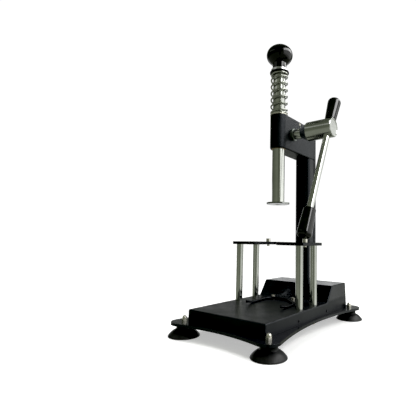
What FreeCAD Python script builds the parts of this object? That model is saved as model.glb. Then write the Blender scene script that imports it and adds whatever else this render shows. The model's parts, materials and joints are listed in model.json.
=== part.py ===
"""Hand-lever rack press: a cast base on a foot plate with four suction cups, a column and head,
a sprung ram driven by a pinion and a sliding lever bar, and a U-shaped shelf on four posts.

Millimetres, +Z up, +X to the lever side, -Y to the front. The origin is on the ground, in the
middle of the four feet.
"""
import FreeCAD, Part
import math
import os
import Sketcher
from FreeCAD import Placement, Rotation, Vector

DOC = FreeCAD.newDocument("cheese_press")

# ---------------------------------------------------------------- driving dimensions
DIMENSIONS = {
    # base casting
    "base_width": 148.4, "base_front": -137.0, "base_rear": 141.0, "base_bottom": 23.0,
    "base_top": 41.5, "hump_foot": 53.5, "hump_front": 73.5, "hump_rear": 136.0,
    "hump_top": 69.5, "base_wall": 5.0, "base_edge": 2.0,
    # foot plate and suction cups
    "foot_x": 80.5, "foot_y": 138.0, "ear_radius": 18.5, "ear_forward": 3.0, "foot_plate_thickness": 4.0,
    "waist_x": 80.7, "waist_y": 149.0, "cup_rim_radius": 24.8, "cup_neck_radius": 12.6,
    "cup_neck_bottom": 11.5, "stud_radius": 2.5, "acorn_across": 8.0,
    "acorn_dome_radius": 3.6, "acorn_height": 8.6,
    # column and head
    "column_half_width": 16.5, "column_front": 90.0, "column_rear": 119.0, "column_corner": 8.0,
    "flange_thickness": 5.5, "flange_half_width": 17.5, "head_bottom": 317.7, "head_top": 381.6,
    "boss_radius": 16.0, "head_half_width": 17.3, "ram_bush_wall": 1.5, "ram_bush_length": 12.0,
    # ram, rack and pinion
    "ram_y": 3.0, "ram_radius": 11.5, "ram_bottom": 219.0, "ram_top": 464.0, "ram_play": 0.05,
    "gear_module": 1.5, "pinion_teeth": 18.0, "pinion_z": 348.5, "pinion_half_face": 9.0,
    "shaft_radius": 7.0, "shaft_play": 0.05, "pinion_bore_radius": 15.6, "shaft_bush_radius": 9.2,
    "pinion_bush_inner": 10.2, "pinion_bush_length": 6.0,
    # hub and lever
    "collar_radius": 11.2, "collar_end": 21.9, "hub_neck_radius": 9.7, "hub_cone_start": 36.8,
    "hub_cone_end": 51.3, "hub_radius": 17.2, "hub_end": 100.0, "lever_x": 89.6, "lever_tilt": 24.8,
    "bar_radius": 5.5, "bar_play": 0.08, "grip_start": 163.0, "grip_length": 48.5,
    "grip_inner_radius": 10.0, "grip_outer_radius": 11.9, "grip_end_corner": 6.5,
    "upper_grip_start": 17.6,
    # press disc, knob and spring
    "disc_radius": 21.0, "disc_thickness": 3.0, "ball_radius": 24.6, "ball_half_height": 19.8,
    "ball_side_radius": 16.5, "ball_centre": 499.2, "ball_neck_radius": 13.1,
    "buffer_radius": 18.0, "buffer_thickness": 1.6, "knob_washer_radius": 15.8, "washer_thickness": 5.0,
    "spring_wire": 1.6, "spring_radius": 14.9, "spring_turns": 8.0,
    # shelf, posts and fence
    "post_x": 62.2, "post_front": -27.0, "post_rear": 22.5, "post_radius": 6.1,
    "shelf_bottom": 142.9, "shelf_thickness": 5.0, "shelf_half_width": 73.4,
    "shelf_front": -35.5, "shelf_rear": 33.8, "notch_half_width": 23.0,
    "stop_left": -38.0, "stop_right": 42.0, "stop_y": 29.0, "fence_wire": 2.1, "fence_height": 2.2,
}
SHEET = DOC.addObject("Spreadsheet::Sheet", "sizes")
for row, (alias, number) in enumerate(DIMENSIONS.items(), start=1):
    SHEET.set(f"A{row}", alias)
    SHEET.set(f"B{row}", str(number))
    SHEET.setAlias(f"B{row}", alias)
DOC.recompute()


class Size:
    """A number together with the spreadsheet expression that gives it."""

    def __init__(self, number, text):
        self.number = float(number)
        self.text = text

    def __add__(self, other):
        other = size(other)
        return Size(self.number + other.number, f"({self.text} + {other.text})")

    def __sub__(self, other):
        other = size(other)
        return Size(self.number - other.number, f"({self.text} - {other.text})")

    def __mul__(self, other):
        other = size(other)
        return Size(self.number * other.number, f"({self.text} * {other.text})")

    def __truediv__(self, other):
        other = size(other)
        return Size(self.number / other.number, f"({self.text} / {other.text})")

    def __radd__(self, other):
        return size(other) + self

    def __rsub__(self, other):
        return size(other) - self

    def __rmul__(self, other):
        return size(other) * self

    def __neg__(self):
        return Size(-self.number, f"(0 - {self.text})")


def size(value):
    return value if isinstance(value, Size) else Size(value, f"({float(value)})")


class Cells:
    """Each driving dimension by name, as a Size bound to its cell."""

    def __getattr__(self, name):
        return Size(DIMENSIONS[name], f"sizes.{name}")


D = Cells()
PITCH_RADIUS = D.gear_module * D.pinion_teeth / 2
TOOTH_PITCH = D.gear_module * math.pi
PITCH_LINE_Y = D.ram_y + D.ram_radius - D.gear_module * 2
PINION_Y = PITCH_LINE_Y + PITCH_RADIUS
SHELF_TOP = D.shelf_bottom + D.shelf_thickness
PLATE_BOTTOM = D.base_bottom - D.foot_plate_thickness
DISC_BOTTOM = D.ram_bottom - D.disc_thickness
FEET = {
    "front_left": (-D.foot_x, -D.foot_y), "front_right": (D.foot_x, -D.foot_y),
    "rear_left": (-D.foot_x, D.foot_y), "rear_right": (D.foot_x, D.foot_y),
}
POSTS = {
    "front_left": (-D.post_x, D.post_front), "front_right": (D.post_x, D.post_front),
    "rear_left": (-D.post_x, D.post_rear), "rear_right": (D.post_x, D.post_rear),
}
ALONG_X = Rotation(Vector(0, 1, 0), 90)
ALONG_Y = Rotation(Vector(1, 0, 0), -90)
UPRIGHT = Rotation()
NODES = []


# ---------------------------------------------------------------- helpers
def bind(item, prop, value):
    item.setExpression(prop, size(value).text)


def place(item, at=(0, 0, 0), turn=UPRIGHT):
    numbers = [size(value).number for value in at]
    item.Placement = Placement(Vector(*numbers), turn)
    for axis, value in zip("xyz", at):
        bind(item, f"Placement.Base.{axis}", value)
    return item


def node(item, label):
    item.Label = label
    NODES.append(item)
    return item


def cylinder(radius, height, at=(0, 0, 0), turn=UPRIGHT):
    item = DOC.addObject("Part::Cylinder", "cylinder")
    bind(item, "Radius", radius)
    bind(item, "Height", height)
    return place(item, at, turn)


def box(low, high):
    item = DOC.addObject("Part::Box", "box")
    for prop, start, end in zip(("Length", "Width", "Height"), low, high):
        bind(item, prop, size(end) - start)
    return place(item, low)


def hexagon(across, height, at=(0, 0, 0), turn=UPRIGHT):
    item = DOC.addObject("Part::Prism", "hexagon")
    item.Polygon = 6
    bind(item, "Circumradius", size(across) / math.sqrt(3))
    bind(item, "Height", height)
    return place(item, at, turn)


def cut(base, *tools):
    item = DOC.addObject("Part::Cut", "cut")
    item.Base = base
    item.Tool = tools[0] if len(tools) == 1 else group(tools, "Part::MultiFuse")
    return item


def group(items, kind="Part::Compound"):
    item = DOC.addObject(kind, "group")
    if kind == "Part::Compound":
        item.Links = list(items)
    else:
        item.Shapes = list(items)
    return item


def ring(outer, inner, height, at=(0, 0, 0), turn=UPRIGHT):
    return place(cut(cylinder(outer, height), cylinder(inner, height)), at, turn)


class Arc:
    """An arc to a point, about a centre, turning clockwise or not."""

    def __init__(self, end, centre, clockwise=False):
        self.end = end
        self.centre = centre
        self.clockwise = clockwise


def origin_feature(body, role):
    """One of a body's own origin planes or axes."""
    return next(item for item in body.Origin.OriginFeatures if item.Role == role)


def outline(body, role, steps, closed=True):
    """A sketch on an origin plane. Each step is a corner or an Arc, and each corner is dimensioned."""
    sketch = body.newObject("Sketcher::SketchObject", "sketch")
    sketch.AttachmentSupport = [(origin_feature(body, role), "")]
    sketch.MapMode = "FlatFace"
    ends = [step.end if isinstance(step, Arc) else step for step in steps]
    corners = [tuple(size(value) for value in end) for end in ends]
    points = [Vector(x.number, y.number, 0) for x, y in corners]
    for index, step in enumerate(steps):
        start, end = points[index - 1], points[index]
        if isinstance(step, Arc):
            centre = Vector(*(size(value).number for value in step.centre), 0)
            angles = [math.atan2(p.y - centre.y, p.x - centre.x) for p in (start, end)]
            first, last = reversed(angles) if step.clockwise else angles
            circle = Part.Circle(centre, Vector(0, 0, 1), start.distanceToPoint(centre))
            sketch.addGeometry(Part.ArcOfCircle(circle, first, last), False)
        else:
            sketch.addGeometry(Part.LineSegment(start, end), False)

    def end_of(index, last):
        step = steps[index]
        backwards = isinstance(step, Arc) and step.clockwise
        return index % len(steps), 2 if last != backwards else 1

    for index in range(len(steps)):
        start_of_next = end_of((index + 1) % len(steps), False)
        sketch.addConstraint(Sketcher.Constraint("Coincident", *end_of(index, True), *start_of_next))
    for index, (x, y) in enumerate(corners):
        pin(sketch, "DistanceX", end_of(index, True), x)
        pin(sketch, "DistanceY", end_of(index, True), y)
        step = steps[index]
        if isinstance(step, Arc):
            chord = points[index] - points[index - 1]
            steep = abs(chord.y) > abs(chord.x)
            kind, value = ("DistanceX", step.centre[0]) if steep else ("DistanceY", step.centre[1])
            pin(sketch, kind, (index, 3), size(value))
    return sketch


def pin(sketch, kind, point, value):
    """Dimensions a point from the sketch's origin with a cell's expression."""
    if abs(value.number) < 1e-9:
        axis = (-2,) if kind == "DistanceX" else (-1,)
        sketch.addConstraint(Sketcher.Constraint("PointOnObject", *point, *axis))
        return
    constraint = Sketcher.Constraint(kind, -1, 1, *point, value.number)
    number = sketch.addConstraint(constraint)
    sketch.setExpression(f"Constraints[{number}]", value.text)


def feature(body, kind, sketch, **values):
    item = body.newObject(f"PartDesign::{kind}", kind.lower())
    item.Profile = sketch
    for prop, value in values.items():
        if isinstance(value, Size):
            bind(item, prop, value)
        else:
            setattr(item, prop, value)
    return item


def turned(steps):
    """A body turned about its own Z from a half outline of (radius, height) corners."""
    body = DOC.addObject("PartDesign::Body", "turned")
    sketch = outline(body, "XZ_Plane", steps)
    feature(body, "Revolution", sketch, ReferenceAxis=(sketch, ["V_Axis"]), Angle=360.0)
    return body


def padded(steps, height, role="XY_Plane", middle=False):
    """A body padded from an outline on one of its origin planes."""
    body = DOC.addObject("PartDesign::Body", "padded")
    sketch = outline(body, role, steps)
    feature(body, "Pad", sketch, Length=size(height), Midplane=middle)
    return body


def checked_pocket(body, steps, role, length, reverse=False, middle=False, offset=None):
    """A pocket that must remove material."""
    DOC.recompute()
    before = body.Shape.Volume
    sketch = outline(body, role, steps)
    if offset is not None:
        bind(sketch, "AttachmentOffset.Base.z", offset)
    pocket = feature(body, "Pocket", sketch, Length=size(length), Reversed=reverse, Midplane=middle)
    DOC.recompute()
    if not body.Shape.Volume < before - 0.5:
        raise RuntimeError(f"{body.Label}: the pocket removes nothing")
    return pocket


def edges(body, kind, amount, chosen):
    """A fillet or chamfer on the edges of the body's last feature that chosen accepts."""
    DOC.recompute()
    base = body.Tip
    names = [f"Edge{i}" for i, edge in enumerate(base.Shape.Edges, start=1) if chosen(edge)]
    item = body.newObject(f"PartDesign::{kind}", kind.lower())
    item.Base = (base, names)
    bind(item, "Radius" if kind == "Fillet" else "Size", amount)
    return item


def rectangle(low, high):
    (x0, y0), (x1, y1) = low, high
    return [(x0, y0), (x1, y0), (x1, y1), (x0, y1)]


def socket_screw(radius, length, at, turn=UPRIGHT, head_radius=None, head_height=None):
    """A socket cap screw. Its head's underside is at the point given and its shank runs along -Z."""
    radius = size(radius)
    head_radius = size(head_radius if head_radius is not None else radius * 1.7)
    head_height = size(head_height if head_height is not None else radius * 2)
    blank = group([cylinder(head_radius, head_height), cylinder(radius, length, (0, 0, -size(length)))],
                  "Part::MultiFuse")
    socket = hexagon(radius * 1.7, head_height * 0.55, (0, 0, head_height * 0.5))
    return place(cut(blank, socket), at, turn)


def nut(across, height, hole, at, turn=UPRIGHT):
    return place(cut(hexagon(across, height), cylinder(hole, height)), at, turn)


def root(value):
    return Size(math.sqrt(value.number), f"sqrt({value.text})")


# ---------------------------------------------------------------- foot plate and suction cups
EAR_Y = D.foot_y + D.ear_forward
HOLE_PLAY = 0.2
STUD_BOTTOM = 13.0
STUD_TOP = D.base_bottom + 6.5
ACORN_HEX_HEIGHT = 3.6
POST_STUD_RADIUS = 3.0
POST_STUD_BOTTOM = 9.5
COLUMN_BOLT_RADIUS = 4.0
COLUMN_BOLTS = [(-8.0, 104.0), (8.0, 104.0)]
PLATE_SCREW_RADIUS = 2.5
PLATE_SCREWS = [(x, y) for x in (-69.5, 69.5) for y in (-100.0, 62.0)]
SIDE_SCREW_RADIUS = 1.5
SIDE_SCREW_Z = 28.5
SIDE_SCREW_Y = (-48.0, 51.0)
FENCE_SCREWS = [(-30.4, 37.0), (14.6, 34.6)]
FENCE_SCREW_RADIUS = 2.0


def waist_radius(half_span, inset):
    """Radius of a drawn-in side that touches both ear circles."""
    above = half_span * half_span + inset * inset - D.ear_radius * D.ear_radius
    return above / ((D.ear_radius - inset) * 2)


def touch_point(ear, centre, radius):
    """Where a drawn-in side touches an ear circle."""
    share = D.ear_radius / (radius + D.ear_radius)
    return tuple(a + (b - a) * share for a, b in zip(ear, centre))


def foot_plate():
    front_radius = waist_radius(D.foot_x, D.waist_y - EAR_Y)
    side_radius = waist_radius(EAR_Y, D.waist_x - D.foot_x)
    zero = size(0)
    below = {-1: (zero, -(D.waist_y + front_radius)), 1: (zero, D.waist_y + front_radius)}
    beside = {1: (D.waist_x + side_radius, zero), -1: (-(D.waist_x + side_radius), zero)}
    steps = []
    for x_side, y_side, ear_first in ((1, -1, True), (1, 1, False), (-1, 1, True), (-1, -1, False)):
        ear = (D.foot_x * x_side, EAR_Y * y_side)
        on_end = touch_point(ear, below[y_side], front_radius)
        on_side = touch_point(ear, beside[x_side], side_radius)
        if ear_first:
            steps += [Arc(on_end, below[y_side], clockwise=True), Arc(on_side, ear)]
        else:
            steps += [Arc(on_side, beside[x_side], clockwise=True), Arc(on_end, ear)]
    body = padded(steps, D.foot_plate_thickness)
    place(body, (0, 0, PLATE_BOTTOM))
    holes = [(D.stud_radius, at) for at in FEET.values()]
    holes += [(POST_STUD_RADIUS, at) for at in POSTS.values()]
    holes += [(COLUMN_BOLT_RADIUS, at) for at in COLUMN_BOLTS]
    holes += [(PLATE_SCREW_RADIUS, at) for at in PLATE_SCREWS]
    tools = [cylinder(radius + HOLE_PLAY, 10, (*at, PLATE_BOTTOM - 3)) for radius, at in holes]
    node(cut(body, *tools), "foot_plate")


def suction_cup(corner):
    x, y = FEET[corner]
    rim, neck = D.cup_rim_radius, D.cup_neck_radius
    skirt = [(rim - 1.2, 0), (rim, 0), (rim, 1.5), (rim - 4.4, 6.6), (neck + 1.2, D.cup_neck_bottom)]
    stem = [(neck, D.cup_neck_bottom + 1.2), (neck, PLATE_BOTTOM), (D.stud_radius, PLATE_BOTTOM)]
    hollow = [(D.stud_radius, STUD_BOTTOM), (0, STUD_BOTTOM), (0, 8.0), (9.0, 7.4), (rim - 7.5, 4.2)]
    node(place(turned(skirt + stem + hollow), (x, y, 0)), f"suction_cup_{corner}")


def cup_fasteners():
    length = STUD_TOP - STUD_BOTTOM
    studs = [cylinder(D.stud_radius, length, (x, y, STUD_BOTTOM)) for x, y in FEET.values()]
    node(group(studs), "cup_studs")
    dome_radius = D.acorn_dome_radius
    dome_start = D.acorn_height - dome_radius
    profile = [
        (0, ACORN_HEX_HEIGHT / 2), (dome_radius, ACORN_HEX_HEIGHT / 2), (dome_radius, dome_start),
        Arc((0, D.acorn_height), (0, dome_start)),
    ]
    nuts = []
    for x, y in FEET.values():
        blank = group([hexagon(D.acorn_across, ACORN_HEX_HEIGHT), turned(profile)], "Part::MultiFuse")
        hole = cylinder(D.stud_radius, STUD_TOP - D.base_bottom)
        nuts.append(place(cut(blank, hole), (x, y, D.base_bottom)))
    node(group(nuts), "cup_nuts")


# ---------------------------------------------------------------- base
def base():
    profile = [
        (D.base_front, D.base_bottom), (D.base_rear, D.base_bottom), (D.hump_rear, D.hump_top),
        (D.hump_front, D.hump_top), (D.hump_foot, D.base_top), (D.base_front, D.base_top),
    ]
    body = padded(profile, D.base_width, "YZ_Plane", middle=True)
    lowest = D.base_bottom.number + 1
    edges(body, "Fillet", D.base_edge, lambda edge: edge.CenterOfMass.z > lowest)
    shallow = D.base_top - D.base_wall - D.base_bottom
    deep = D.hump_top - D.base_wall - D.base_bottom
    hollows = [
        (rectangle((-64.0, D.base_front + 8), (64.0, -42.0)), shallow),
        (rectangle((-52.0, -34.0), (52.0, 46.0)), shallow),
        (rectangle((24.0, 80.0), (64.0, 129.0)), deep),
        (rectangle((-64.0, 80.0), (-24.0, 129.0)), deep),
    ]
    for corners, depth in hollows:
        checked_pocket(body, corners, "XY_Plane", depth, reverse=True, offset=D.base_bottom)
    bottom = D.base_bottom - 1
    tools = [cylinder(POST_STUD_RADIUS + HOLE_PLAY, 30, (x, y, bottom)) for x, y in POSTS.values()]
    tools += [cylinder(COLUMN_BOLT_RADIUS + HOLE_PLAY, 60, (*at, bottom)) for at in COLUMN_BOLTS]
    tools += [cylinder(PLATE_SCREW_RADIUS, 11, (*at, bottom)) for at in PLATE_SCREWS]
    tools += [cylinder(FENCE_SCREW_RADIUS, 6, (*at, D.base_top - 5)) for at in FENCE_SCREWS]
    for y in SIDE_SCREW_Y:
        inner = D.base_width / 2 - 6
        tools.append(cylinder(SIDE_SCREW_RADIUS, 7, (inner, y, SIDE_SCREW_Z), ALONG_X))
        tools.append(cylinder(SIDE_SCREW_RADIUS, 7, (-inner - 7, y, SIDE_SCREW_Z), ALONG_X))
    node(cut(body, *tools), "base")


def base_fasteners():
    side = D.base_width / 2
    screws = []
    for y in SIDE_SCREW_Y:
        for x, turn in ((side, ALONG_X), (-side, Rotation(Vector(0, 1, 0), -90))):
            screws.append(socket_screw(SIDE_SCREW_RADIUS, 5.8, (x, y, SIDE_SCREW_Z), turn, 2.2, 0.9))
    node(group(screws), "side_screws")
    flip = Rotation(Vector(1, 0, 0), 180)
    plate = [socket_screw(PLATE_SCREW_RADIUS, 13, (*at, PLATE_BOTTOM), flip, 4.6, 2.6) for at in PLATE_SCREWS]
    node(group(plate), "plate_screws")
    bolts = []
    for at in COLUMN_BOLTS:
        head = hexagon(13, 5.3, (*at, PLATE_BOTTOM - 5.3))
        shank = cylinder(COLUMN_BOLT_RADIUS, D.hump_top + 26 - PLATE_BOTTOM, (*at, PLATE_BOTTOM))
        bolts.append(group([head, shank], "Part::MultiFuse"))
    node(group(bolts), "column_bolts")


# ---------------------------------------------------------------- column
HEAD_BOLT_RADIUS = 3.0
HEAD_BOLTS = [(x, z) for x in (-9.0, 9.0) for z in (334.0, 366.0)]


def column():
    half, corner = D.column_half_width, D.column_corner
    groove_front = D.column_rear - D.flange_thickness - 1.2
    flange_front = D.column_rear - D.flange_thickness
    groove_half = half - 1.0
    profile = [
        (groove_half, groove_front), (groove_half, flange_front),
        (-groove_half, flange_front), (-groove_half, groove_front), (-half, groove_front),
        (-half, D.column_front + corner),
        Arc((-half + corner, D.column_front), (-half + corner, D.column_front + corner)),
        (half - corner, D.column_front),
        Arc((half, D.column_front + corner), (half - corner, D.column_front + corner)),
        (half, groove_front),
    ]
    body = DOC.addObject("PartDesign::Body", "padded")
    shaft = outline(body, "XY_Plane", profile)
    bind(shaft, "AttachmentOffset.Base.z", D.hump_top)
    feature(body, "Pad", shaft, Length=D.head_bottom - D.hump_top)
    wide = D.flange_half_width
    strip = outline(body, "XY_Plane", rectangle((-wide, flange_front), (wide, D.column_rear)))
    bind(strip, "AttachmentOffset.Base.z", D.hump_top)
    feature(body, "Pad", strip, Length=D.head_top - D.hump_top)
    tools = [cylinder(COLUMN_BOLT_RADIUS, 27, (*at, D.hump_top - 0.5)) for at in COLUMN_BOLTS]
    for x, z in HEAD_BOLTS:
        tools.append(cylinder(HEAD_BOLT_RADIUS + HOLE_PLAY, 8, (x, D.column_rear - 7, z), ALONG_Y))
    node(cut(body, *tools), "column")


# ---------------------------------------------------------------- head
SET_SCREW_Y, SET_SCREW_Z = 53.5, 376.6
SET_SCREW_RADIUS = 2.5


def head():
    rear = D.column_rear - D.flange_thickness
    wide, boss = D.head_half_width, D.boss_radius
    profile = [
        (-wide, rear), (-boss, D.ram_y), Arc((boss, D.ram_y), (size(0), D.ram_y)), (wide, rear),
    ]
    body = DOC.addObject("PartDesign::Body", "padded")
    sketch = outline(body, "XY_Plane", profile)
    bind(sketch, "AttachmentOffset.Base.z", D.head_bottom)
    feature(body, "Pad", sketch, Length=D.head_top - D.head_bottom)
    low, high = D.head_bottom.number, D.head_top.number
    back = rear.number - 1
    edges(body, "Fillet", 3.0, lambda e: abs(e.CenterOfMass.z - low) < 0.1 and e.CenterOfMass.y < back)
    edges(body, "Fillet", 1.6, lambda e: abs(e.CenterOfMass.z - high) < 0.1 and e.CenterOfMass.y < back)
    ram_bore = cylinder(D.ram_radius + D.ram_bush_wall + 0.02, 100, (0, D.ram_y, D.head_bottom - 10))
    left, middle = -30.0, D.pinion_bush_inner
    wide_bore = cylinder(D.pinion_bore_radius + 0.02, middle - left, (left, PINION_Y, D.pinion_z), ALONG_X)
    shaft_bore = cylinder(D.shaft_bush_radius + 0.02, 20, (middle - 1, PINION_Y, D.pinion_z), ALONG_X)
    tools = [ram_bore, wide_bore, shaft_bore]
    for x, z in HEAD_BOLTS:
        tools.append(cylinder(HEAD_BOLT_RADIUS, 25, (x, rear - 24, z), ALONG_Y))
    tools.append(cylinder(SET_SCREW_RADIUS, 12, (7.0, SET_SCREW_Y, SET_SCREW_Z), ALONG_X))
    tools.append(cylinder(3.5, 10, (14.6, SET_SCREW_Y, SET_SCREW_Z), ALONG_X))
    node(cut(body, *tools), "head")


def head_fasteners():
    bolts = [socket_screw(HEAD_BOLT_RADIUS, 25, (x, D.column_rear, z), ALONG_Y) for x, z in HEAD_BOLTS]
    node(group(bolts), "head_bolts")
    length, socket_depth = 8.8, 3.0
    blank = cylinder(SET_SCREW_RADIUS, length)
    socket = hexagon(2.6, socket_depth, (0, 0, length - socket_depth))
    node(place(cut(blank, socket), (7.6, SET_SCREW_Y, SET_SCREW_Z), ALONG_X), "head_set_screw")


def bushes():
    inner = D.ram_radius + D.ram_play
    outer = D.ram_radius + D.ram_bush_wall
    length = D.ram_bush_length
    heights = (D.head_bottom, D.head_top - length)
    node(group([ring(outer, inner, length, (0, D.ram_y, z)) for z in heights]), "ram_bushes")
    width = D.pinion_bush_length
    bore = D.shaft_radius + D.shaft_play
    sides = ((D.pinion_bore_radius, -D.pinion_bush_inner - width), (D.shaft_bush_radius, D.pinion_bush_inner))
    rings = [ring(outer, bore, width, (x, PINION_Y, D.pinion_z), ALONG_X) for outer, x in sides]
    node(group(rings), "pinion_bushes")


# ---------------------------------------------------------------- ram, rack and pinion
PRESSURE_ANGLE = math.radians(20)
BACKLASH = 0.14
DISC_SCREW_RADIUS = 3.0
KNOB_STUD_RADIUS = 4.0
KNOB_STUD_LENGTH = 33.0
KNOB_STUD_DEPTH = 16.0
RACK_TEETH_BELOW, RACK_GAPS = 2, 15


def ram():
    radius = D.ram_radius
    profile = [
        (0, D.ram_bottom + 15), (DISC_SCREW_RADIUS, D.ram_bottom + 15), (DISC_SCREW_RADIUS, D.ram_bottom),
        (radius, D.ram_bottom), (radius, D.ram_top - 1), (radius - 1, D.ram_top),
        (KNOB_STUD_RADIUS, D.ram_top), (KNOB_STUD_RADIUS, D.ram_top - KNOB_STUD_DEPTH),
        (0, D.ram_top - KNOB_STUD_DEPTH),
    ]
    body = turned(profile)
    pitch_line = PITCH_LINE_Y - D.ram_y
    tip = pitch_line + D.gear_module
    low = D.pinion_z - TOOTH_PITCH * (RACK_TEETH_BELOW + 0.5)
    high = low + TOOTH_PITCH * RACK_GAPS
    flat = rectangle((tip, low - 1), (size(radius) + 2, high + 1))
    checked_pocket(body, flat, "YZ_Plane", 40, middle=True)
    root_y = pitch_line - D.gear_module * 1.25
    slope = math.tan(PRESSURE_ANGLE)
    root_half = TOOTH_PITCH / 4 + BACKLASH / 2 - D.gear_module * 1.25 * slope
    mouth = size(radius) + 1
    mouth_half = root_half + (mouth - root_y) * slope
    middle = D.pinion_z - TOOTH_PITCH * RACK_TEETH_BELOW
    gap = [
        (root_y, middle - root_half), (mouth, middle - mouth_half),
        (mouth, middle + mouth_half), (root_y, middle + root_half),
    ]
    pocket = checked_pocket(body, gap, "YZ_Plane", 40, middle=True)
    pattern = body.newObject("PartDesign::LinearPattern", "rack")
    pattern.Originals = [pocket]
    pattern.Direction = (origin_feature(body, "Z_Axis"), [""])
    bind(pattern, "Length", TOOTH_PITCH * (RACK_GAPS - 1))
    pattern.Occurrences = RACK_GAPS
    body.Tip = pattern
    node(place(body, (0, D.ram_y, 0)), "ram")


def involute_flank(base_radius, start, end, steps=5):
    """Radius and polar angle along an involute, from one radius to another."""
    flank = []
    for index in range(steps + 1):
        radius = start + (end - start) * index / steps
        roll = math.sqrt(max((radius / base_radius) ** 2 - 1, 0))
        flank.append((radius, roll - math.atan(roll)))
    return flank


def gear_wire(module, teeth):
    """The closed outline of an involute gear in the XY plane, with a tooth on -Y."""
    pitch_radius = module * teeth / 2
    base_radius = pitch_radius * math.cos(PRESSURE_ANGLE)
    root_radius = pitch_radius - 1.25 * module
    tip_radius = pitch_radius + module
    involute_at_pitch = math.tan(PRESSURE_ANGLE) - PRESSURE_ANGLE
    half_tooth = (math.pi * module / 2 - BACKLASH) / 2 / pitch_radius
    flank = [(root_radius, 0.0)] + involute_flank(base_radius, base_radius, tip_radius)
    corners = []
    for tooth in range(teeth):
        middle = -math.pi / 2 + 2 * math.pi * tooth / teeth
        for side, points in ((-1, flank), (1, reversed(flank))):
            for radius, angle in points:
                at = middle + side * (half_tooth + involute_at_pitch - angle)
                corners.append(Vector(radius * math.cos(at), radius * math.sin(at), 0))
    return Part.makePolygon(corners + [corners[0]])


def pinion_shaft():
    face = Part.Face(gear_wire(D.gear_module.number, round(D.pinion_teeth.number)))
    half = D.pinion_half_face.number
    teeth = face.extrude(Vector(0, 0, 2 * half))
    teeth.translate(Vector(0, 0, -half))
    left, right = -26.0, 46.0
    shaft = Part.makeCylinder(D.shaft_radius.number, right - left, Vector(0, 0, left))
    item = DOC.addObject("Part::Feature", "pinion")
    item.Shape = teeth.fuse(shaft).removeSplitter()
    node(place(item, (0, PINION_Y, D.pinion_z), ALONG_X), "pinion_shaft")


def pinion_retainer():
    at = (-D.boss_radius - 2.4, PINION_Y, D.pinion_z)
    node(ring(12, D.shaft_radius, 1.8, at, ALONG_X), "retaining_washer")
    nut_at = (at[0] - 5.6, PINION_Y, D.pinion_z)
    node(nut(21, 5.6, D.shaft_radius, nut_at, ALONG_X), "retaining_nut")


def hub():
    start = D.boss_radius + 0.6
    at = (start, PINION_Y, D.pinion_z)
    node(ring(D.collar_radius, D.shaft_radius, D.collar_end - start, at, ALONG_X), "hub_collar")
    big, neck, end = D.hub_radius, D.hub_neck_radius, D.hub_end
    profile = [
        (D.shaft_radius, D.collar_end), (neck, D.collar_end), (neck, D.hub_cone_start), (big, D.hub_cone_end),
        (big, end - 1.2), (big - 1.2, end), (big - 2.4, end), (big - 3.2, end - 0.8), (0, end - 0.8),
        (0, 46.2), (D.shaft_radius, 46.2),
    ]
    blank = place(turned(profile), (0, PINION_Y, D.pinion_z), ALONG_X)
    cross_hole = cylinder(D.bar_radius + D.bar_play, 60, along_lever(-30), TILT)
    screw_hole = cylinder(2.5, 12, (29.5, PINION_Y + D.shaft_radius, D.pinion_z), ALONG_Y)
    node(cut(blank, cross_hole, screw_hole), "lever_hub")
    screw = cut(cylinder(2.5, 2.5), hexagon(2.6, 2, (0, 0, 1.2)))
    node(place(screw, (29.5, PINION_Y + D.shaft_radius + 0.02, D.pinion_z), ALONG_Y), "hub_screw")


# ---------------------------------------------------------------- lever
TILT_ANGLE = DIMENSIONS["lever_tilt"]
TILT = Rotation(Vector(1, 0, 0), -TILT_ANGLE)
TILT_DOWN = Rotation(Vector(1, 0, 0), 180 - TILT_ANGLE)
GRIP_BORE_DEPTH = 39.0


def along_lever(distance):
    """The point on the lever bar's axis at a distance up from the hub's axis."""
    sine, cosine = math.sin(math.radians(TILT_ANGLE)), math.cos(math.radians(TILT_ANGLE))
    return (D.lever_x, PINION_Y + size(distance) * sine, D.pinion_z + size(distance) * cosine)


def lever():
    low = -(D.grip_start + GRIP_BORE_DEPTH)
    high = D.upper_grip_start + GRIP_BORE_DEPTH
    node(cylinder(D.bar_radius, high - low, along_lever(low), TILT), "lever_bar")
    grip("upper_grip", along_lever(D.upper_grip_start), TILT)
    grip("lower_grip", along_lever(-D.grip_start), TILT_DOWN)


def grip(label, at, turn):
    inner, outer, length, corner = D.grip_inner_radius, D.grip_outer_radius, D.grip_length, D.grip_end_corner
    profile = [
        (D.bar_radius, 0), (inner - 1, 0), (inner, 1), (outer, length - corner),
        Arc((outer - corner, length), (outer - corner, length - corner)),
        (0, length), (0, GRIP_BORE_DEPTH), (D.bar_radius, GRIP_BORE_DEPTH),
    ]
    node(place(turned(profile), at, turn), label)


# ---------------------------------------------------------------- disc, knob and spring
def press_disc():
    sink, hole = 2.9, DISC_SCREW_RADIUS + 0.2
    profile = [
        (hole, sink), (hole, D.disc_thickness),
        (D.disc_radius, D.disc_thickness), (D.disc_radius, 0.4), (D.disc_radius - 0.4, 0), (hole + 3, 0),
    ]
    node(place(turned(profile), (0, D.ram_y, DISC_BOTTOM)), "press_disc")
    screw = turned([(0, 0.1), (6.0, 0.1), (DISC_SCREW_RADIUS, 3.0), (DISC_SCREW_RADIUS, 16), (0, 16)])
    socket = hexagon(4, 2.2, (0, 0, 0))
    node(place(cut(screw, socket), (0, D.ram_y, DISC_BOTTOM)), "disc_screw")


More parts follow.
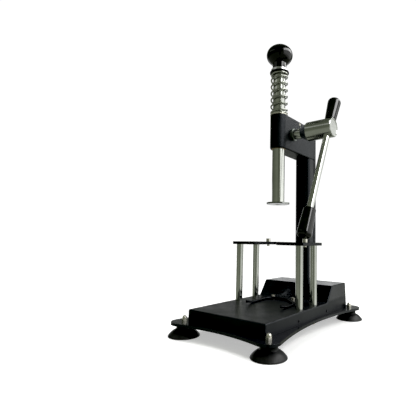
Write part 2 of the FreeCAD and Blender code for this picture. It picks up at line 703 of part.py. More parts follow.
def knob():
    """An oval ball: a flatter crown and underside joined by tighter arcs round the side."""
    wide, tall, side, neck = D.ball_radius, D.ball_half_height, D.ball_side_radius, D.ball_neck_radius
    crown = (wide * wide - wide * side * 2 + tall * tall) / ((tall - side) * 2)
    reach = crown / (crown - side)
    side_centre = (wide - side, D.ball_centre)
    join_radius = (wide - side) * reach
    join_rise = (crown - tall) * (reach - 1)
    washer_bottom = D.ram_top + D.buffer_thickness
    bottom = washer_bottom + D.washer_thickness
    neck_top = D.ball_centre - tall + crown - root(crown * crown - neck * neck)
    bore_top = D.ram_top - KNOB_STUD_DEPTH + KNOB_STUD_LENGTH
    profile = [
        (KNOB_STUD_RADIUS, bottom), (neck, bottom), (neck, neck_top),
        Arc((join_radius, D.ball_centre - join_rise), (size(0), D.ball_centre - tall + crown)),
        Arc((join_radius, D.ball_centre + join_rise), side_centre),
        Arc((0, D.ball_centre + tall), (size(0), D.ball_centre + tall - crown)),
        (0, bore_top), (KNOB_STUD_RADIUS, bore_top),
    ]
    node(place(turned(profile), (0, D.ram_y, 0)), "ball_knob")
    stud_at = (0, D.ram_y, D.ram_top - KNOB_STUD_DEPTH)
    node(cylinder(KNOB_STUD_RADIUS, KNOB_STUD_LENGTH, stud_at), "knob_stud")
    hole = KNOB_STUD_RADIUS + 0.1
    at = (0, D.ram_y, washer_bottom)
    node(ring(D.knob_washer_radius, hole, D.washer_thickness, at), "knob_washer")
    node(ring(D.buffer_radius, hole, D.buffer_thickness, (0, D.ram_y, D.ram_top)), "knob_buffer")


SPRING_SEAT = 1.6


def coil(wire, radius, height, half_turns):
    """A closed solid helix of round wire, sewn from equal half turns."""
    rise = height / half_turns
    ahead = Vector(0, math.pi * radius, rise)
    section = Part.Wire(Part.Circle(Vector(radius, 0, 0), ahead, wire).toShape())
    helix = Part.makeHelix(2 * rise, rise, radius)
    half_turn = Part.Wire(helix.Edges).makePipeShell([section], True, True)
    *ends, side = sorted(half_turn.Faces, key=lambda face: face.Area)
    bottom, top = sorted(ends, key=lambda face: face.CenterOfMass.z)

    def lifted(face, steps):
        copy = face.copy()
        move = Placement(Vector(0, 0, rise * steps), Rotation(Vector(0, 0, 1), 180 * steps))
        copy.Placement = move.multiply(copy.Placement)
        return copy

    sides = [lifted(side, step) for step in range(half_turns)]
    shell = Part.Shell([bottom, *sides, lifted(top, half_turns - 1)])
    shell.sewShape()
    return Part.Solid(shell)


def return_spring():
    node(ring(16.4, D.ram_radius + 0.8, SPRING_SEAT, (0, D.ram_y, D.head_top)), "spring_seat")
    wire = D.spring_wire.number
    bottom = D.head_top.number + SPRING_SEAT + wire
    height = D.ram_top.number - 0.1 - wire - bottom
    item = DOC.addObject("Part::Feature", "spring")
    item.Shape = coil(wire, D.spring_radius.number, height, round(2 * D.spring_turns.number))
    node(place(item, (0, D.ram_y, bottom)), "return_spring")


# ---------------------------------------------------------------- shelf and posts
SHELF_SCREW_RADIUS = 2.5
SHELF_SCREW_HEAD = 4.9
SHELF_SCREW_LENGTH = 16.0
STOP_SCREW_RADIUS = 2.5


def shelf_screw_profile(play):
    shank = SHELF_SCREW_RADIUS + play
    top = SHELF_SCREW_HEAD + play
    return [(0, -SHELF_SCREW_LENGTH), (shank, -SHELF_SCREW_LENGTH), (shank, -2.4 - play), (top, 0), (0, 0)]


def shelf():
    half, notch = D.shelf_half_width, D.notch_half_width
    profile = [
        (-half, D.shelf_front), (-notch, D.shelf_front), (-notch, D.ram_y),
        Arc((notch, D.ram_y), (size(0), D.ram_y), clockwise=True), (notch, D.shelf_front),
        (half, D.shelf_front), (half, D.shelf_rear), (-half, D.shelf_rear),
    ]
    body = padded(profile, D.shelf_thickness)
    corner = half.number - 0.1
    upright = D.shelf_thickness.number + 0.1
    edges(body, "Fillet", 2.0, lambda e: abs(e.CenterOfMass.x) > corner and e.Length < upright)
    place(body, (0, 0, D.shelf_bottom))
    tools = [place(turned(shelf_screw_profile(0.1)), (x, y, SHELF_TOP)) for x, y in POSTS.values()]
    for x in (D.stop_left, D.stop_right):
        tools.append(cylinder(STOP_SCREW_RADIUS, 8, (x, D.stop_y, D.shelf_bottom - 2)))
    node(cut(body, *tools), "support_shelf")
    screws = []
    for x, y in POSTS.values():
        socket = hexagon(3, 2, (0, 0, -1.9))
        screws.append(place(cut(turned(shelf_screw_profile(0)), socket), (x, y, SHELF_TOP)))
    node(group(screws), "shelf_screws")
    stops = [socket_screw(STOP_SCREW_RADIUS, 8.4, (x, D.stop_y, SHELF_TOP), UPRIGHT, 4.2, 6.0)
             for x in (D.stop_left, D.stop_right)]
    node(group(stops), "stop_screws")


def post(corner):
    x, y = POSTS[corner]
    rod = cylinder(D.post_radius, D.shelf_bottom - D.base_top, (x, y, D.base_top))
    top_hole = cylinder(SHELF_SCREW_RADIUS, 14, (x, y, D.shelf_bottom - 13))
    stud_hole = cylinder(POST_STUD_RADIUS, 17, (x, y, D.base_top - 1))
    node(cut(rod, top_hole, stud_hole), f"post_{corner}")


def post_fasteners():
    length = D.base_top + 15 - POST_STUD_BOTTOM
    studs = [cylinder(POST_STUD_RADIUS, length, (x, y, POST_STUD_BOTTOM)) for x, y in POSTS.values()]
    node(group(studs), "post_studs")
    nuts = [nut(10, 5, POST_STUD_RADIUS, (x, y, PLATE_BOTTOM - 5)) for x, y in POSTS.values()]
    node(group(nuts), "post_nuts")


# ---------------------------------------------------------------- fence
FENCE_ROUTE = [
    (-28.8, -46.0, 2.6), (-29.2, -33.0, 0.0), (-31.5, 29.0, 0.0), (8.0, 27.0, 0.0),
    (38.7, 0.0, 0.0), (41.0, -33.0, 0.0), (41.2, -46.4, 2.6),
]
FENCE_BENDS = [30.0, 17.0, 30.0, 22.0, 30.0]


def rounded_route(points, radii):
    """Straight runs joined by tangent arcs."""
    parts, start = [], points[0]
    for before, corner, after, radius in zip(points, points[1:], points[2:], radii):
        back = (before - corner).normalize()
        ahead = (after - corner).normalize()
        turn = math.pi - back.getAngle(ahead)
        reach = radius * math.tan(turn / 2)
        first, last = corner + back * reach, corner + ahead * reach
        inward = (back + ahead).normalize()
        middle = corner + inward * (radius / math.cos(turn / 2) - radius)
        parts += [Part.LineSegment(start, first).toShape(), Part.Arc(first, middle, last).toShape()]
        start = last
    parts.append(Part.LineSegment(start, points[-1]).toShape())
    return Part.Wire(parts)


def fence():
    wire = D.fence_wire.number
    lift = D.base_top.number + D.fence_height.number
    points = [Vector(x, y, lift + z) for x, y, z in FENCE_ROUTE]
    route = rounded_route(points, FENCE_BENDS)
    section = Part.Wire(Part.Circle(points[0], points[1] - points[0], wire).toShape())
    rod = route.makePipeShell([section], True, False)
    tips = [Part.makeSphere(wire + 0.4, point) for point in (points[0], points[-1])]
    item = DOC.addObject("Part::Feature", "wire")
    item.Shape = rod.fuse(tips)
    node(item, "fence")
    screws = []
    for at in FENCE_SCREWS:
        screws.append(socket_screw(FENCE_SCREW_RADIUS, 4.8, (*at, D.base_top), UPRIGHT, 3.4, 5.2))
    node(group(screws), "fence_screws")


# ---------------------------------------------------------------- whole press
foot_plate()
for corner in FEET:
    suction_cup(corner)
cup_fasteners()
base()
base_fasteners()
column()
head()
head_fasteners()
bushes()
ram()
pinion_shaft()
pinion_retainer()
hub()
lever()
press_disc()
knob()
return_spring()
shelf()
for corner in POSTS:
    post(corner)
post_fasteners()
fence()
DOC.recompute()

failed = [item.Label for item in DOC.Objects if {"Invalid", "Error"} & set(item.State)]
failed += [item.Label for item in NODES if item.Shape.isNull() or not item.Shape.isValid()]
if failed:
    raise RuntimeError(f"failed: {', '.join(failed)}")
os.makedirs("parts", exist_ok=True)
for item in NODES:
    item.Shape.exportStep(f"parts/{item.Label}.step")
    size_text = " x ".join(f"{length:.1f}" for length in (
        item.Shape.BoundBox.XLength, item.Shape.BoundBox.YLength, item.Shape.BoundBox.ZLength))
    print(f"{item.Label}: {len(item.Shape.Solids)} solids, {size_text} mm")
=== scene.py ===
"""Looks of the hand-lever rack press: studio, camera, procedural materials and the soft or sprung pieces.

Metres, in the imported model's own frame: +Z up, +X to the lever side, -Y to the front.
"""
import json
import math

import bmesh
import bpy
from mathutils import Matrix, Vector

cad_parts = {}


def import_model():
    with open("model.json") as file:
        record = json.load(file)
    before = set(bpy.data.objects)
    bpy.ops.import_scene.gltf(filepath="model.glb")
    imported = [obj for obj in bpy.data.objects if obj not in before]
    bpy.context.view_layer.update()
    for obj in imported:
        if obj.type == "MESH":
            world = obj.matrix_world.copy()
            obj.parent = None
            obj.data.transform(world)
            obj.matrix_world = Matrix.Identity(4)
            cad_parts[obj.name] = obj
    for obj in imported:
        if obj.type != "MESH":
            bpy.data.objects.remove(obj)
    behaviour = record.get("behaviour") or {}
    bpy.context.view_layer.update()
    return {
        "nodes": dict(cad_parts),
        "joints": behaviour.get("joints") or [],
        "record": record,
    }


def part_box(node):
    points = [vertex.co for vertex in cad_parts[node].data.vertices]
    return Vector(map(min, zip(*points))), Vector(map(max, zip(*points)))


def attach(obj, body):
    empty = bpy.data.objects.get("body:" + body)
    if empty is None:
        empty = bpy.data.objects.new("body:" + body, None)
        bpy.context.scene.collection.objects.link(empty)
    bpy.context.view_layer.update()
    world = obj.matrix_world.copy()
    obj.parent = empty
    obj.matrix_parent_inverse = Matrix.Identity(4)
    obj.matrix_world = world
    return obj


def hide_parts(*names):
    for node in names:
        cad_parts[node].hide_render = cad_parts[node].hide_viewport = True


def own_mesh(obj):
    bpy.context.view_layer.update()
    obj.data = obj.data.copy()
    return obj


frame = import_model()
scene = bpy.context.scene
MM = 0.001

# ---------------------------------------------------------------- camera
CAMERA_AT = Vector((0.33625, -0.512, 0.15329))
CAMERA_YAW = math.radians(35.5)
CAMERA_PITCH = math.radians(5.18)
CAMERA_ROLL = math.radians(0.89)
LENS_MM = 29.32
SENSOR_MM = 36.0
SHIFT_X = -0.1346
CLIP_START = 0.01


def camera():
    ahead = Vector((-math.sin(CAMERA_YAW) * math.cos(CAMERA_PITCH),
                    math.cos(CAMERA_YAW) * math.cos(CAMERA_PITCH), math.sin(CAMERA_PITCH)))
    level = Vector((math.cos(CAMERA_YAW), math.sin(CAMERA_YAW), 0))
    upright = level.cross(ahead)
    right = level * math.cos(CAMERA_ROLL) + upright * math.sin(CAMERA_ROLL)
    up = upright * math.cos(CAMERA_ROLL) - level * math.sin(CAMERA_ROLL)
    data = bpy.data.cameras.new("camera")
    data.lens = LENS_MM
    data.sensor_width = SENSOR_MM
    data.shift_x = SHIFT_X
    data.clip_start = CLIP_START
    obj = bpy.data.objects.new("camera", data)
    turn = Matrix((right, up, -ahead)).transposed()
    obj.matrix_world = Matrix.Translation(CAMERA_AT) @ turn.to_4x4()
    scene.collection.objects.link(obj)
    scene.camera = obj


camera()


# ---------------------------------------------------------------- node graph helper
class Graph:
    """A node tree in which a call makes a node, sets its constants and links its inputs."""

    def __init__(self, tree):
        self.tree = tree
        tree.nodes.clear()

    def add(self, kind, links=None, **settings):
        node = self.tree.nodes.new(kind)
        for name, value in settings.items():
            setattr(node, name, value)
        for name, value in (links or {}).items():
            socket = node.inputs[name]
            if isinstance(value, bpy.types.NodeSocket):
                self.tree.links.new(value, socket)
            else:
                socket.default_value = value
        return node

    def math(self, operation, a, b=0.0, clamp=False):
        node = self.add("ShaderNodeMath", {0: a, 1: b}, operation=operation, use_clamp=clamp)
        return node.outputs[0]

    def vector(self, operation, a, b=(0, 0, 0), out=0):
        return self.add("ShaderNodeVectorMath", {0: a, 1: b}, operation=operation).outputs[out]

    def noise(self, vector, scale, detail=2.0, rough=0.5):
        links = {"Vector": vector, "Scale": scale, "Detail": detail, "Roughness": rough}
        return self.add("ShaderNodeTexNoise", links).outputs[0]

    def spread(self, value, low, high, start=0.0, end=1.0, smooth=False):
        links = {"Value": value, "From Min": start, "From Max": end, "To Min": low, "To Max": high}
        kind = "SMOOTHSTEP" if smooth else "LINEAR"
        return self.add("ShaderNodeMapRange", links, interpolation_type=kind).outputs[0]

    def mix(self, share, a, b):
        node = self.add("ShaderNodeMix", data_type="RGBA")
        for index, value in ((0, share), (6, a), (7, b)):
            if isinstance(value, bpy.types.NodeSocket):
                self.tree.links.new(value, node.inputs[index])
            else:
                node.inputs[index].default_value = value if index == 0 else (*value, 1)
        return node.outputs[2]

    def bump(self, height, distance, normal=None, strength=1.0):
        links = {"Height": height, "Distance": distance, "Strength": strength}
        if normal is not None:
            links["Normal"] = normal
        return self.add("ShaderNodeBump", links).outputs[0]


# ---------------------------------------------------------------- studio
OLIVE_NEAR = (0.17, 0.185, 0.14)
OLIVE_FAR = (0.085, 0.095, 0.07)
OLIVE_LOW = (0.27, 0.285, 0.235)
OLIVE_DARK = (0.05, 0.055, 0.045)
BACKDROP = (0.90, 0.91, 0.92)
SEEN_WHITE = (1.05, 1.05, 1.05)
AHEAD_LEVEL = (-math.sin(CAMERA_YAW), math.cos(CAMERA_YAW), 0)
RIGHT_LEVEL = (math.cos(CAMERA_YAW), math.sin(CAMERA_YAW), 0)

# Where each part of the room starts and ends, as parts of a unit direction.
ROOM_AHEAD = (-0.9, 0.6)
LOW_ROOM_HEIGHT = (-0.3, 0.05)
DOORWAY_SIDEWAYS = (0.05, 0.17)
DOORWAY_AHEAD = (-0.9, -0.6)
DOORWAY_SHARE = 0.75
BACKDROP_AHEAD = (0.62, 0.86)
BACKDROP_FOOT = (-0.25, -0.10)
BACKDROP_TOP = (0.13, 0.18)

# Name, lowest and highest point in metres, and radiance of each pane.
WINDOW_PANES = (
    ("window_top", 1.3, 2.4, 6.0), ("window_rail", 1.08, 1.3, 0.5), ("window", 0.12, 1.08, 1.1),
    ("window_sill", -0.4, 0.12, 0.52),
)
WINDOW_TURN = math.radians(102)
WINDOW_FAR = 1.5
WINDOW_WIDTH = 3.0
CEILING_AT = (-0.97, -1.32, 1.42)
CEILING_TOWARDS = (0, 0, 0.35)
CEILING_WIDTH, CEILING_DEPTH = 1.6, 0.45
CEILING_GLOW = 0.28
DAYLIGHT = 2.4
DAYLIGHT_AT = (-0.7, 0.5, 1.9)
DAYLIGHT_SPREAD = math.radians(40)
FLOOR_REACH = 30.0
FLOOR_GLOW = 0.45
FLOOR_PALE, FLOOR_PALER = (0.78, 0.78, 0.78), (0.82, 0.82, 0.82)
BLACK_LEVEL = (0.0095, 0.0095, 0.009)


def world():
    """A white backdrop, with a dim olive room all round it for the metal to reflect."""
    made = bpy.data.worlds.new("studio")
    scene.world = made
    made.use_nodes = True
    graph = Graph(made.node_tree)
    direction = graph.add("ShaderNodeTexCoord").outputs["Generated"]
    ahead = graph.vector("DOT_PRODUCT", direction, AHEAD_LEVEL, out=1)
    height = graph.add("ShaderNodeSeparateXYZ", {"Vector": direction}).outputs["Z"]
    room = graph.mix(graph.spread(ahead, 0, 1, *ROOM_AHEAD), OLIVE_NEAR, OLIVE_FAR)
    room = graph.mix(graph.spread(height, 1, 0, *LOW_ROOM_HEIGHT, smooth=True), room, OLIVE_LOW)
    sideways = graph.math("ABSOLUTE", graph.vector("DOT_PRODUCT", direction, RIGHT_LEVEL, out=1))
    doorway = graph.math("MULTIPLY", graph.spread(sideways, DOORWAY_SHARE, 0, *DOORWAY_SIDEWAYS, smooth=True),
                         graph.spread(ahead, 1, 0, *DOORWAY_AHEAD))
    room = graph.mix(doorway, room, OLIVE_DARK)
    behind = graph.spread(ahead, 0, 1, *BACKDROP_AHEAD, smooth=True)
    above = graph.spread(height, 0, 1, *BACKDROP_FOOT, smooth=True)
    below = graph.spread(height, 1, 0.07, *BACKDROP_TOP, smooth=True)
    band = graph.math("MULTIPLY", behind, graph.math("MULTIPLY", above, below))
    lit = graph.mix(band, room, BACKDROP)
    seen = graph.add("ShaderNodeLightPath").outputs["Is Camera Ray"]
    shown = graph.mix(seen, lit, SEEN_WHITE)
    backdrop = graph.add("ShaderNodeBackground", {"Color": shown, "Strength": 1.0})
    out = graph.add("ShaderNodeOutputWorld")
    graph.tree.links.new(backdrop.outputs[0], out.inputs["Surface"])


def add_light(data, at, towards, glossy=True):
    obj = bpy.data.objects.new(data.name, data)
    away = Vector(towards) - Vector(at)
    obj.matrix_world = Matrix.Translation(at) @ away.to_track_quat("-Z", "Y").to_matrix().to_4x4()
    obj.visible_camera = False
    obj.visible_glossy = glossy
    scene.collection.objects.link(obj)


def panel(name, at, towards, width, height, glow):
    """A rectangular light of a given radiance, as it shows in polished metal."""
    data = bpy.data.lights.new(name, "AREA")
    data.shape = "RECTANGLE"
    data.size = width
    data.size_y = height
    data.energy = glow * math.pi * width * height
    add_light(data, at, towards)


def window():
    """A tall window to the right of the view, brightest at its top and dim at its sill."""
    sideways = Vector(RIGHT_LEVEL) * math.sin(WINDOW_TURN)
    side = (sideways + Vector(AHEAD_LEVEL) * math.cos(WINDOW_TURN)) * WINDOW_FAR
    for name, low, high, glow in WINDOW_PANES:
        middle = Vector((0, 0, (low + high) / 2))
        panel(name, side + middle, middle, WINDOW_WIDTH, high - low, glow)


def overhead():
    """Wide soft daylight from above, for the floor and its pale shadows."""
    data = bpy.data.lights.new("overhead", "SUN")
    data.energy = DAYLIGHT
    data.angle = DAYLIGHT_SPREAD
    add_light(data, DAYLIGHT_AT, (0, 0, 0), glossy=False)


def floor():
    """A pale floor that only the camera sees, so that it doesn't light the press from below."""
    mesh = bpy.data.meshes.new("floor")
    reach = FLOOR_REACH
    corners = [(-reach, -reach, 0), (reach, -reach, 0), (reach, reach, 0), (-reach, reach, 0)]
    mesh.from_pydata(corners, [], [(0, 1, 2, 3)])
    obj = bpy.data.objects.new("floor", mesh)
    scene.collection.objects.link(obj)
    material = bpy.data.materials.new("floor")
    material.use_nodes = True
    graph = Graph(material.node_tree)
    at = graph.add("ShaderNodeTexCoord").outputs["Object"]
    grain = graph.noise(at, scale=40)
    shader = graph.add("ShaderNodeBsdfPrincipled", {
        "Base Color": graph.mix(graph.spread(grain, 0, 1), FLOOR_PALE, FLOOR_PALER),
        "Roughness": 0.9, "Specular IOR Level": 0.1,
        "Emission Color": (1, 1, 1, 1), "Emission Strength": FLOOR_GLOW})
    out = graph.add("ShaderNodeOutputMaterial")
    graph.tree.links.new(shader.outputs[0], out.inputs["Surface"])
    mesh.materials.append(material)
    for ray in ("glossy", "diffuse", "shadow"):
        setattr(obj, f"visible_{ray}", False)


world()
window()
panel("ceiling", CEILING_AT, CEILING_TOWARDS, CEILING_WIDTH, CEILING_DEPTH, CEILING_GLOW)
overhead()
floor()
scene.view_settings.view_transform = "Standard"
scene.view_settings.use_curve_mapping = True
scene.view_settings.curve_mapping.black_level = BLACK_LEVEL
scene.view_settings.curve_mapping.update()


# ---------------------------------------------------------------- materials
# A noise scale is in cycles per metre. A finish's lengths are in metres.
FRAME_AXIS = ((0, 0, 0), (0, 0, 1))
BARE_IRON = (0.16, 0.16, 0.155)
PAINT_TINT = (0.84, 0.9, 1.0, 1.0)
DUST = (0.075, 0.075, 0.07)
SCUFF = 0.2
SCUFF_FADE = 4 * MM
BEVEL_SAMPLES = 4


class Finish:
    """A material being made: object coordinates, rounded edges and the shader at its end."""

    def __init__(self, name, edge=0.35 * MM, **constants):
        self.material = bpy.data.materials.new(name)
        self.material.use_nodes = True
        self.graph = Graph(self.material.node_tree)
        self.at = self.graph.add("ShaderNodeTexCoord").outputs["Object"]
        self.rounded = self.graph.add("ShaderNodeBevel", {"Radius": edge}, samples=BEVEL_SAMPLES).outputs[0]
        self.links = dict(constants)

    def around(self, axis):
        """Coordinates that don't change round an axis: distance along it and distance from it."""
        origin, direction = axis
        graph = self.graph
        offset = graph.vector("SUBTRACT", self.at, origin)
        along = graph.vector("DOT_PRODUCT", offset, direction, out=1)
        away = graph.vector("LENGTH", graph.vector("CROSS_PRODUCT", offset, direction), out=1)
        return graph.add("ShaderNodeCombineXYZ", {"X": along, "Y": away}).outputs[0]

    def stretched(self, x, y, z):
        return self.graph.vector("MULTIPLY", self.at, (x, y, z))

    def edges(self, radius, start, end):
        """A mask of the sharp outer edges, broken up by noise."""
        graph = self.graph
        wide = graph.add("ShaderNodeBevel", {"Radius": radius}, samples=BEVEL_SAMPLES).outputs[0]
        true = graph.add("ShaderNodeNewGeometry").outputs["Normal"]
        bend = graph.math("SUBTRACT", 1.0, graph.vector("DOT_PRODUCT", wide, true, out=1))
        torn = graph.spread(graph.noise(self.at, scale=420, detail=4, rough=0.7), 0.35, 1.3, 0.3, 0.75)
        return graph.spread(graph.math("MULTIPLY", bend, torn), 0, 1, start, end, smooth=True)

    def done(self):
        graph = self.graph
        shader = graph.add("ShaderNodeBsdfPrincipled", self.links)
        out = graph.add("ShaderNodeOutputMaterial")
        graph.tree.links.new(shader.outputs[0], out.inputs["Surface"])
        return self.material


def painted(name, color, rough, grain=0.02, worn=0.25, gloss=0.4, scuffed=None):
    """Satin powder coat over cast iron, rubbed a little lighter at its edges.

    scuffed is the height in metres that trays have dulled the coat up to.
    """
    made = Finish(name, 0.5 * MM)
    graph = made.graph
    cloud = graph.noise(made.at, scale=14, detail=3, rough=0.6)
    fine = graph.noise(made.at, scale=650, detail=3, rough=0.6)
    peel = graph.noise(made.at, scale=260)
    rub = graph.math("MULTIPLY", made.edges(1.0 * MM, 0.05, 0.5), worn)
    lighter = tuple(c * 1.9 + 0.004 for c in color)
    coat = graph.mix(graph.spread(cloud, 0, 1, 0.3, 0.75), color, lighter)
    made.links["Base Color"] = graph.mix(rub, coat, BARE_IRON)
    made.links["Specular IOR Level"] = gloss
    made.links["Specular Tint"] = PAINT_TINT
    smudges = graph.noise(made.at, scale=35, detail=4, rough=0.65)
    matt = graph.math("ADD", graph.spread(smudges, -0.05, 0.07, 0.3, 0.7), rough)
    if scuffed is not None:
        height = graph.add("ShaderNodeSeparateXYZ", {"Vector": made.at}).outputs["Z"]
        matt = graph.math("ADD", matt, graph.spread(height, SCUFF, 0, scuffed, scuffed + SCUFF_FADE))
    made.links["Roughness"] = graph.math("ADD", matt, graph.math("MULTIPLY", fine, 0.05))
    relief = graph.math("ADD", fine, graph.math("MULTIPLY", peel, 1.6))
    made.links["Normal"] = graph.bump(relief, grain * MM, made.rounded)
    return made.done()


def plated(name, color, rough, axis=FRAME_AXIS, marks=0.0012, tarnish=0.12):
    """Polished or plated round metal with faint turning marks about its axis."""
    made = Finish(name, 0.25 * MM, Metallic=1.0)
    graph = made.graph
    turned = made.around(axis)
    rings = graph.noise(turned, scale=2600, rough=0.6)
    cloud = graph.noise(made.at, scale=60, detail=4, rough=0.6)
    spots = graph.spread(graph.noise(made.at, scale=900), 0, 1, 0.62, 0.8)
    darker = tuple(c * (1 - tarnish) for c in color)
    tone = graph.mix(graph.spread(cloud, 0, 1, 0.35, 0.7), color, darker)
    spotted = tuple(c * 0.6 for c in color)
    made.links["Base Color"] = graph.mix(graph.math("MULTIPLY", spots, 0.25), tone, spotted)
    wander = graph.spread(cloud, rough * 0.7, rough * 1.5, 0.3, 0.7)
    made.links["Roughness"] = graph.math("ADD", wander, graph.spread(rings, 0, rough * 0.5))
    made.links["Normal"] = graph.bump(rings, marks * MM, made.rounded)
    return made.done()


def zinc_plated(name, color):
    """Bright zinc on small fasteners: mottled, a little yellow in places."""
    made = Finish(name, 0.15 * MM, Metallic=0.85)
    graph = made.graph
    cells = graph.add("ShaderNodeTexVoronoi", {"Vector": made.at, "Scale": 900}).outputs["Color"]
    shade = graph.vector("DOT_PRODUCT", cells, (0.33, 0.33, 0.33), out=1)
    yellow = (color[0], color[1] * 0.94, color[2] * 0.8)
    made.links["Base Color"] = graph.mix(graph.spread(shade, 0, 0.6), color, yellow)
    made.links["Roughness"] = graph.spread(shade, 0.16, 0.34)
    made.links["Normal"] = graph.bump(graph.noise(made.at, scale=1800, detail=3), 0.004 * MM, made.rounded)
    return made.done()


def gloss_plastic(name, color, gloss=0.5):
    """Moulded black phenolic: deep gloss with faint polish marks and fingerprints."""
    made = Finish(name, 0.3 * MM)
    made.links["IOR"] = 1.58
    made.links["Specular IOR Level"] = gloss
    graph = made.graph
    fingers = graph.noise(made.at, scale=45, detail=5, rough=0.7)
    strokes = graph.noise(made.stretched(300, 300, 40), scale=1.0, detail=3, rough=0.6)
    hair = graph.spread(strokes, 0, 0.03)
    made.links["Roughness"] = graph.math("ADD", graph.spread(fingers, 0.05, 0.17, 0.35, 0.75), hair)
    haze = tuple(c + 0.008 for c in color)
    cloud = graph.noise(made.at, scale=80, detail=3)
    made.links["Base Color"] = graph.mix(graph.spread(cloud, 0, 1, 0.5, 0.8), color, haze)
    made.links["Normal"] = graph.bump(graph.noise(made.at, scale=120), 0.006 * MM, made.rounded)
    return made.done()


def rubber(name, color):
    """Black rubber with a dusty bloom that gathers low down."""
    made = Finish(name, 0.4 * MM)
    made.links["Specular IOR Level"] = 0.3
    graph = made.graph
    height = graph.add("ShaderNodeSeparateXYZ", {"Vector": made.at}).outputs["Z"]
    low = graph.spread(height, 1, 0.2, 0.0, 0.016)
    dust = graph.spread(graph.noise(made.at, scale=55, detail=4, rough=0.65), 0, 1, 0.4, 0.8)
    share = graph.math("MULTIPLY", graph.math("MULTIPLY", low, dust), 0.5)
    made.links["Base Color"] = graph.mix(share, color, DUST)
    made.links["Roughness"] = graph.spread(graph.noise(made.at, scale=150, detail=3), 0.34, 0.5)
    made.links["Normal"] = graph.bump(graph.noise(made.at, scale=800), 0.012 * MM, made.rounded)
    return made.done()


def joint_axis(name):
    return Vector(next(joint["axis"] for joint in frame["joints"] if joint["name"] == name)).normalized()


low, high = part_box("lever_hub")
PINION_AXIS = ((0, (low.y + high.y) / 2, (low.z + high.z) / 2), (1, 0, 0))
low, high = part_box("ram")
RAM_X, RAM_Y = (low.x + high.x) / 2, (low.y + high.y) / 2
RAM_AXIS = ((RAM_X, RAM_Y, 0), (0, 0, 1))
BAR_AXIS = (PINION_AXIS[0], joint_axis("bar_slide"))

# The posts stand on the work plate, which is dulled up to just above its top.
WORK_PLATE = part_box("post_front_left")[0].z + 1 * MM
BLACK = (0.0045, 0.0048, 0.0055)
CHROME = (0.72, 0.735, 0.70)
STEEL = (0.56, 0.575, 0.545)
ZINC = (0.92, 0.91, 0.85)


def post_axis(name):
    low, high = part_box(name)
    return ((low.x + high.x) / 2, (low.y + high.y) / 2, 0), (0, 0, 1)


finishes = {
    "black_paint": painted("satin_black_paint", BLACK, 0.25),
    "black_screws": painted("black_oxide", (0.012, 0.012, 0.013), 0.36, 0.006, 0.5),
    "black_rubber": rubber("black_rubber", (0.010, 0.0105, 0.011)),
    "chrome": plated("ram_chrome", CHROME, 0.055, RAM_AXIS),
    "steel": plated("turned_steel", STEEL, 0.2, PINION_AXIS, 0.004),
    "zinc": zinc_plated("bright_zinc", ZINC),
    "spring_steel": plated("spring_wire", (0.5, 0.515, 0.47), 0.2, RAM_AXIS, 0.002, 0.25),
    "black_plastic": gloss_plastic("black_phenolic", (0.0025, 0.0025, 0.0028)),
    "bronze": plated("sintered_bronze", (0.56, 0.40, 0.22), 0.32, RAM_AXIS, 0.006, 0.3),
}
special = {
    "foot_plate": painted("gloss_black_plate", BLACK, 0.13, 0.006),
    "base": painted("base_paint", BLACK, 0.13, 0.003, scuffed=WORK_PLATE),
    "head": painted("head_paint", BLACK, 0.36, 0.008),
    "support_shelf": painted("shelf_paint", BLACK, 0.28, 0.005, 0.05, 0.22),
    "lever_hub": plated("hub_plating", STEEL, 0.12, PINION_AXIS, 0.002),
    "fence": painted("fence_coat", (0.003, 0.003, 0.0035), 0.34, 0.008, 0.1),
    "ball_knob": gloss_plastic("ball_phenolic", (0.0012, 0.0012, 0.0014), 0.42),
    "hub_collar": plated("collar_steel", (0.26, 0.285, 0.26), 0.3, PINION_AXIS, 0.003),
    "press_disc": plated("disc_steel", (0.42, 0.43, 0.42), 0.14, RAM_AXIS, 0.004),
    "disc_screw": plated("disc_screw_steel", STEEL, 0.25, RAM_AXIS, 0.004),
    "lever_bar": plated("bar_chrome", CHROME, 0.06, BAR_AXIS),
    "knob_washer": plated("washer_zinc", (0.72, 0.72, 0.75), 0.16, RAM_AXIS, 0.003),
}
for name in frame["nodes"]:
    if name.startswith("post_") and name not in ("post_studs", "post_nuts"):
        special[name] = plated(f"{name}_chrome", CHROME, 0.05, post_axis(name))
slots = {part["node"]: part["material_slot"] for part in frame["record"]["subparts"]}
for name, obj in frame["nodes"].items():
    obj.data.materials.clear()
    obj.data.materials.append(special.get(name) or finishes[slots[name]])


# ---------------------------------------------------------------- mesh helpers
def new_piece(name, verts, faces, material, body, slot, *stands_for):
    """A smooth mesh piece that rides on a body and may stand for CAD nodes."""
    mesh = bpy.data.meshes.new(name)
    mesh.from_pydata(verts, [], faces)
    mesh.validate()
    obj = bpy.data.objects.new(name, mesh)
    scene.collection.objects.link(obj)
    clean = bmesh.new()
    clean.from_mesh(mesh)
    bmesh.ops.remove_doubles(clean, verts=clean.verts, dist=1e-7)
    bmesh.ops.recalc_face_normals(clean, faces=clean.faces)
    clean.to_mesh(mesh)
    clean.free()
    mesh.materials.append(material)
    mesh.shade_smooth()
    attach(obj, body)
    if stands_for:
        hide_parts(*stands_for)
    return obj


def tube_faces(rings, around):
    """The faces of a closed tube whose points are given ring by ring."""
    faces = []
    for ring in range(rings - 1):
        for k in range(around):
            a, b = ring * around + k, ring * around + (k + 1) % around
            faces.append((a, b, b + around, a + around))
    faces.append(tuple(reversed(range(around))))
    faces.append(tuple(range((rings - 1) * around, rings * around)))
    return faces


# ---------------------------------------------------------------- return spring
SPRING_RADIUS = 14.9 * MM
SPRING_WIRE = 1.6 * MM
SPRING_PITCH = 13.3 * MM
SPRING_BLEND = 0.3
SPRING_START = math.radians(245)
END_TURNS = 0.9
GROUND_SHARE = 0.8
STEPS_PER_TURN = 72
WIRE_SIDES = 20


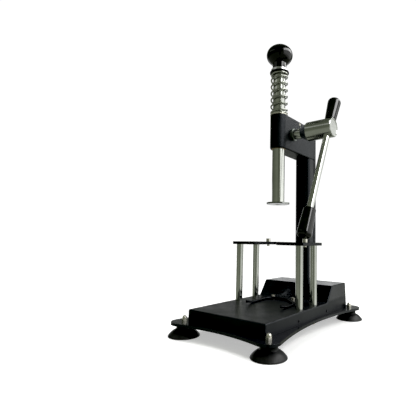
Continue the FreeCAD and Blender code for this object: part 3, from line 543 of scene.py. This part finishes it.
def smooth_step(value):
    value = min(max(value, 0.0), 1.0)
    return value * value * (3 - 2 * value)


def return_spring():
    """Closed and ground end coils that lie flat, and an open pitch between them."""
    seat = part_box("spring_seat")[1].z
    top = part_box("knob_buffer")[0].z
    first, last = seat + SPRING_WIRE * GROUND_SHARE, top - SPRING_WIRE * GROUND_SHARE
    closed = 2 * SPRING_WIRE
    turns = 2 + (last - first - 2 * closed) / SPRING_PITCH + SPRING_BLEND
    steps = round(turns * STEPS_PER_TURN)
    rises = []
    for step in range(steps):
        turn = (step + 0.5) / steps * turns
        from_start, from_end = turn - END_TURNS, turns - END_TURNS - turn
        opened = smooth_step(from_start / SPRING_BLEND) * smooth_step(from_end / SPRING_BLEND)
        rises.append(closed + (SPRING_PITCH - closed) * opened)
    lift = (last - first) / sum(rises)
    verts, z = [], first
    for step in range(steps + 1):
        angle = SPRING_START + 2 * math.pi * turns * step / steps
        outward = Vector((math.cos(angle), math.sin(angle), 0))
        slope = rises[min(step, steps - 1)] * lift * steps / turns / (2 * math.pi * SPRING_RADIUS)
        ahead = Vector((-math.sin(angle), math.cos(angle), slope)).normalized()
        across = ahead.cross(outward)
        centre = Vector((RAM_X, RAM_Y, z)) + outward * SPRING_RADIUS
        for side in range(WIRE_SIDES):
            turn = 2 * math.pi * side / WIRE_SIDES
            point = centre + (outward * math.cos(turn) + across * math.sin(turn)) * SPRING_WIRE
            point.z = min(max(point.z, seat), top)
            verts.append(point)
        if step < steps:
            z += rises[step] * lift
    spring = new_piece("coil_spring", verts, tube_faces(steps + 1, WIRE_SIDES), finishes["spring_steel"],
                       "frame", "spring_steel", "return_spring")
    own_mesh(spring)


return_spring()


# ---------------------------------------------------------------- suction cups
def turned_piece(name, outline, centre, material, body, slot, *stands_for, around=96):
    """A closed outline of (radius, height) points turned about a vertical axis."""
    verts = []
    for radius, height in outline:
        for k in range(around):
            angle = 2 * math.pi * k / around
            x, y = radius * math.cos(angle), radius * math.sin(angle)
            verts.append((centre.x + x, centre.y + y, centre.z + height))
    return new_piece(name, verts, tube_faces(len(outline), around), material, body, slot, *stands_for)


def cup_outline():
    """Half section in metres: hollow underside, rim bead, bulging skirt, neck and collar."""
    hollow = [(0.0, 7.9), (5.0, 7.7), (10.0, 6.6), (15.0, 4.9), (19.0, 2.9), (22.4, 0.9)]
    rim = [(23.6, 0.05), (24.5, 0.15), (24.8, 0.9), (24.6, 1.7), (23.9, 2.6)]
    skirt = [(22.3, 4.6), (20.2, 6.8), (17.9, 8.6), (15.6, 10.0), (13.9, 10.8)]
    neck = [(12.8, 11.3), (12.3, 12.0), (12.2, 13.0), (12.2, 15.0)]
    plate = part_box("foot_plate")[0].z / MM
    collar = [(12.6, 15.5), (12.7, 16.1), (12.7, plate - 0.55), (12.3, plate - 0.05)]
    lid = [(6.0, plate), (0.0, plate)]
    return [(radius * MM, height * MM) for radius, height in hollow + rim + skirt + neck + collar + lid]


for corner in ("front_left", "front_right", "rear_left", "rear_right"):
    node = f"suction_cup_{corner}"
    low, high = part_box(node)
    centre = Vector(((low.x + high.x) / 2, (low.y + high.y) / 2, 0))
    cup = turned_piece(f"cup_{corner}", cup_outline(), centre, finishes["black_rubber"], "frame",
                       "black_rubber", node)
    smoother = cup.modifiers.new("smooth", "SUBSURF")
    smoother.levels = smoother.render_levels = 1
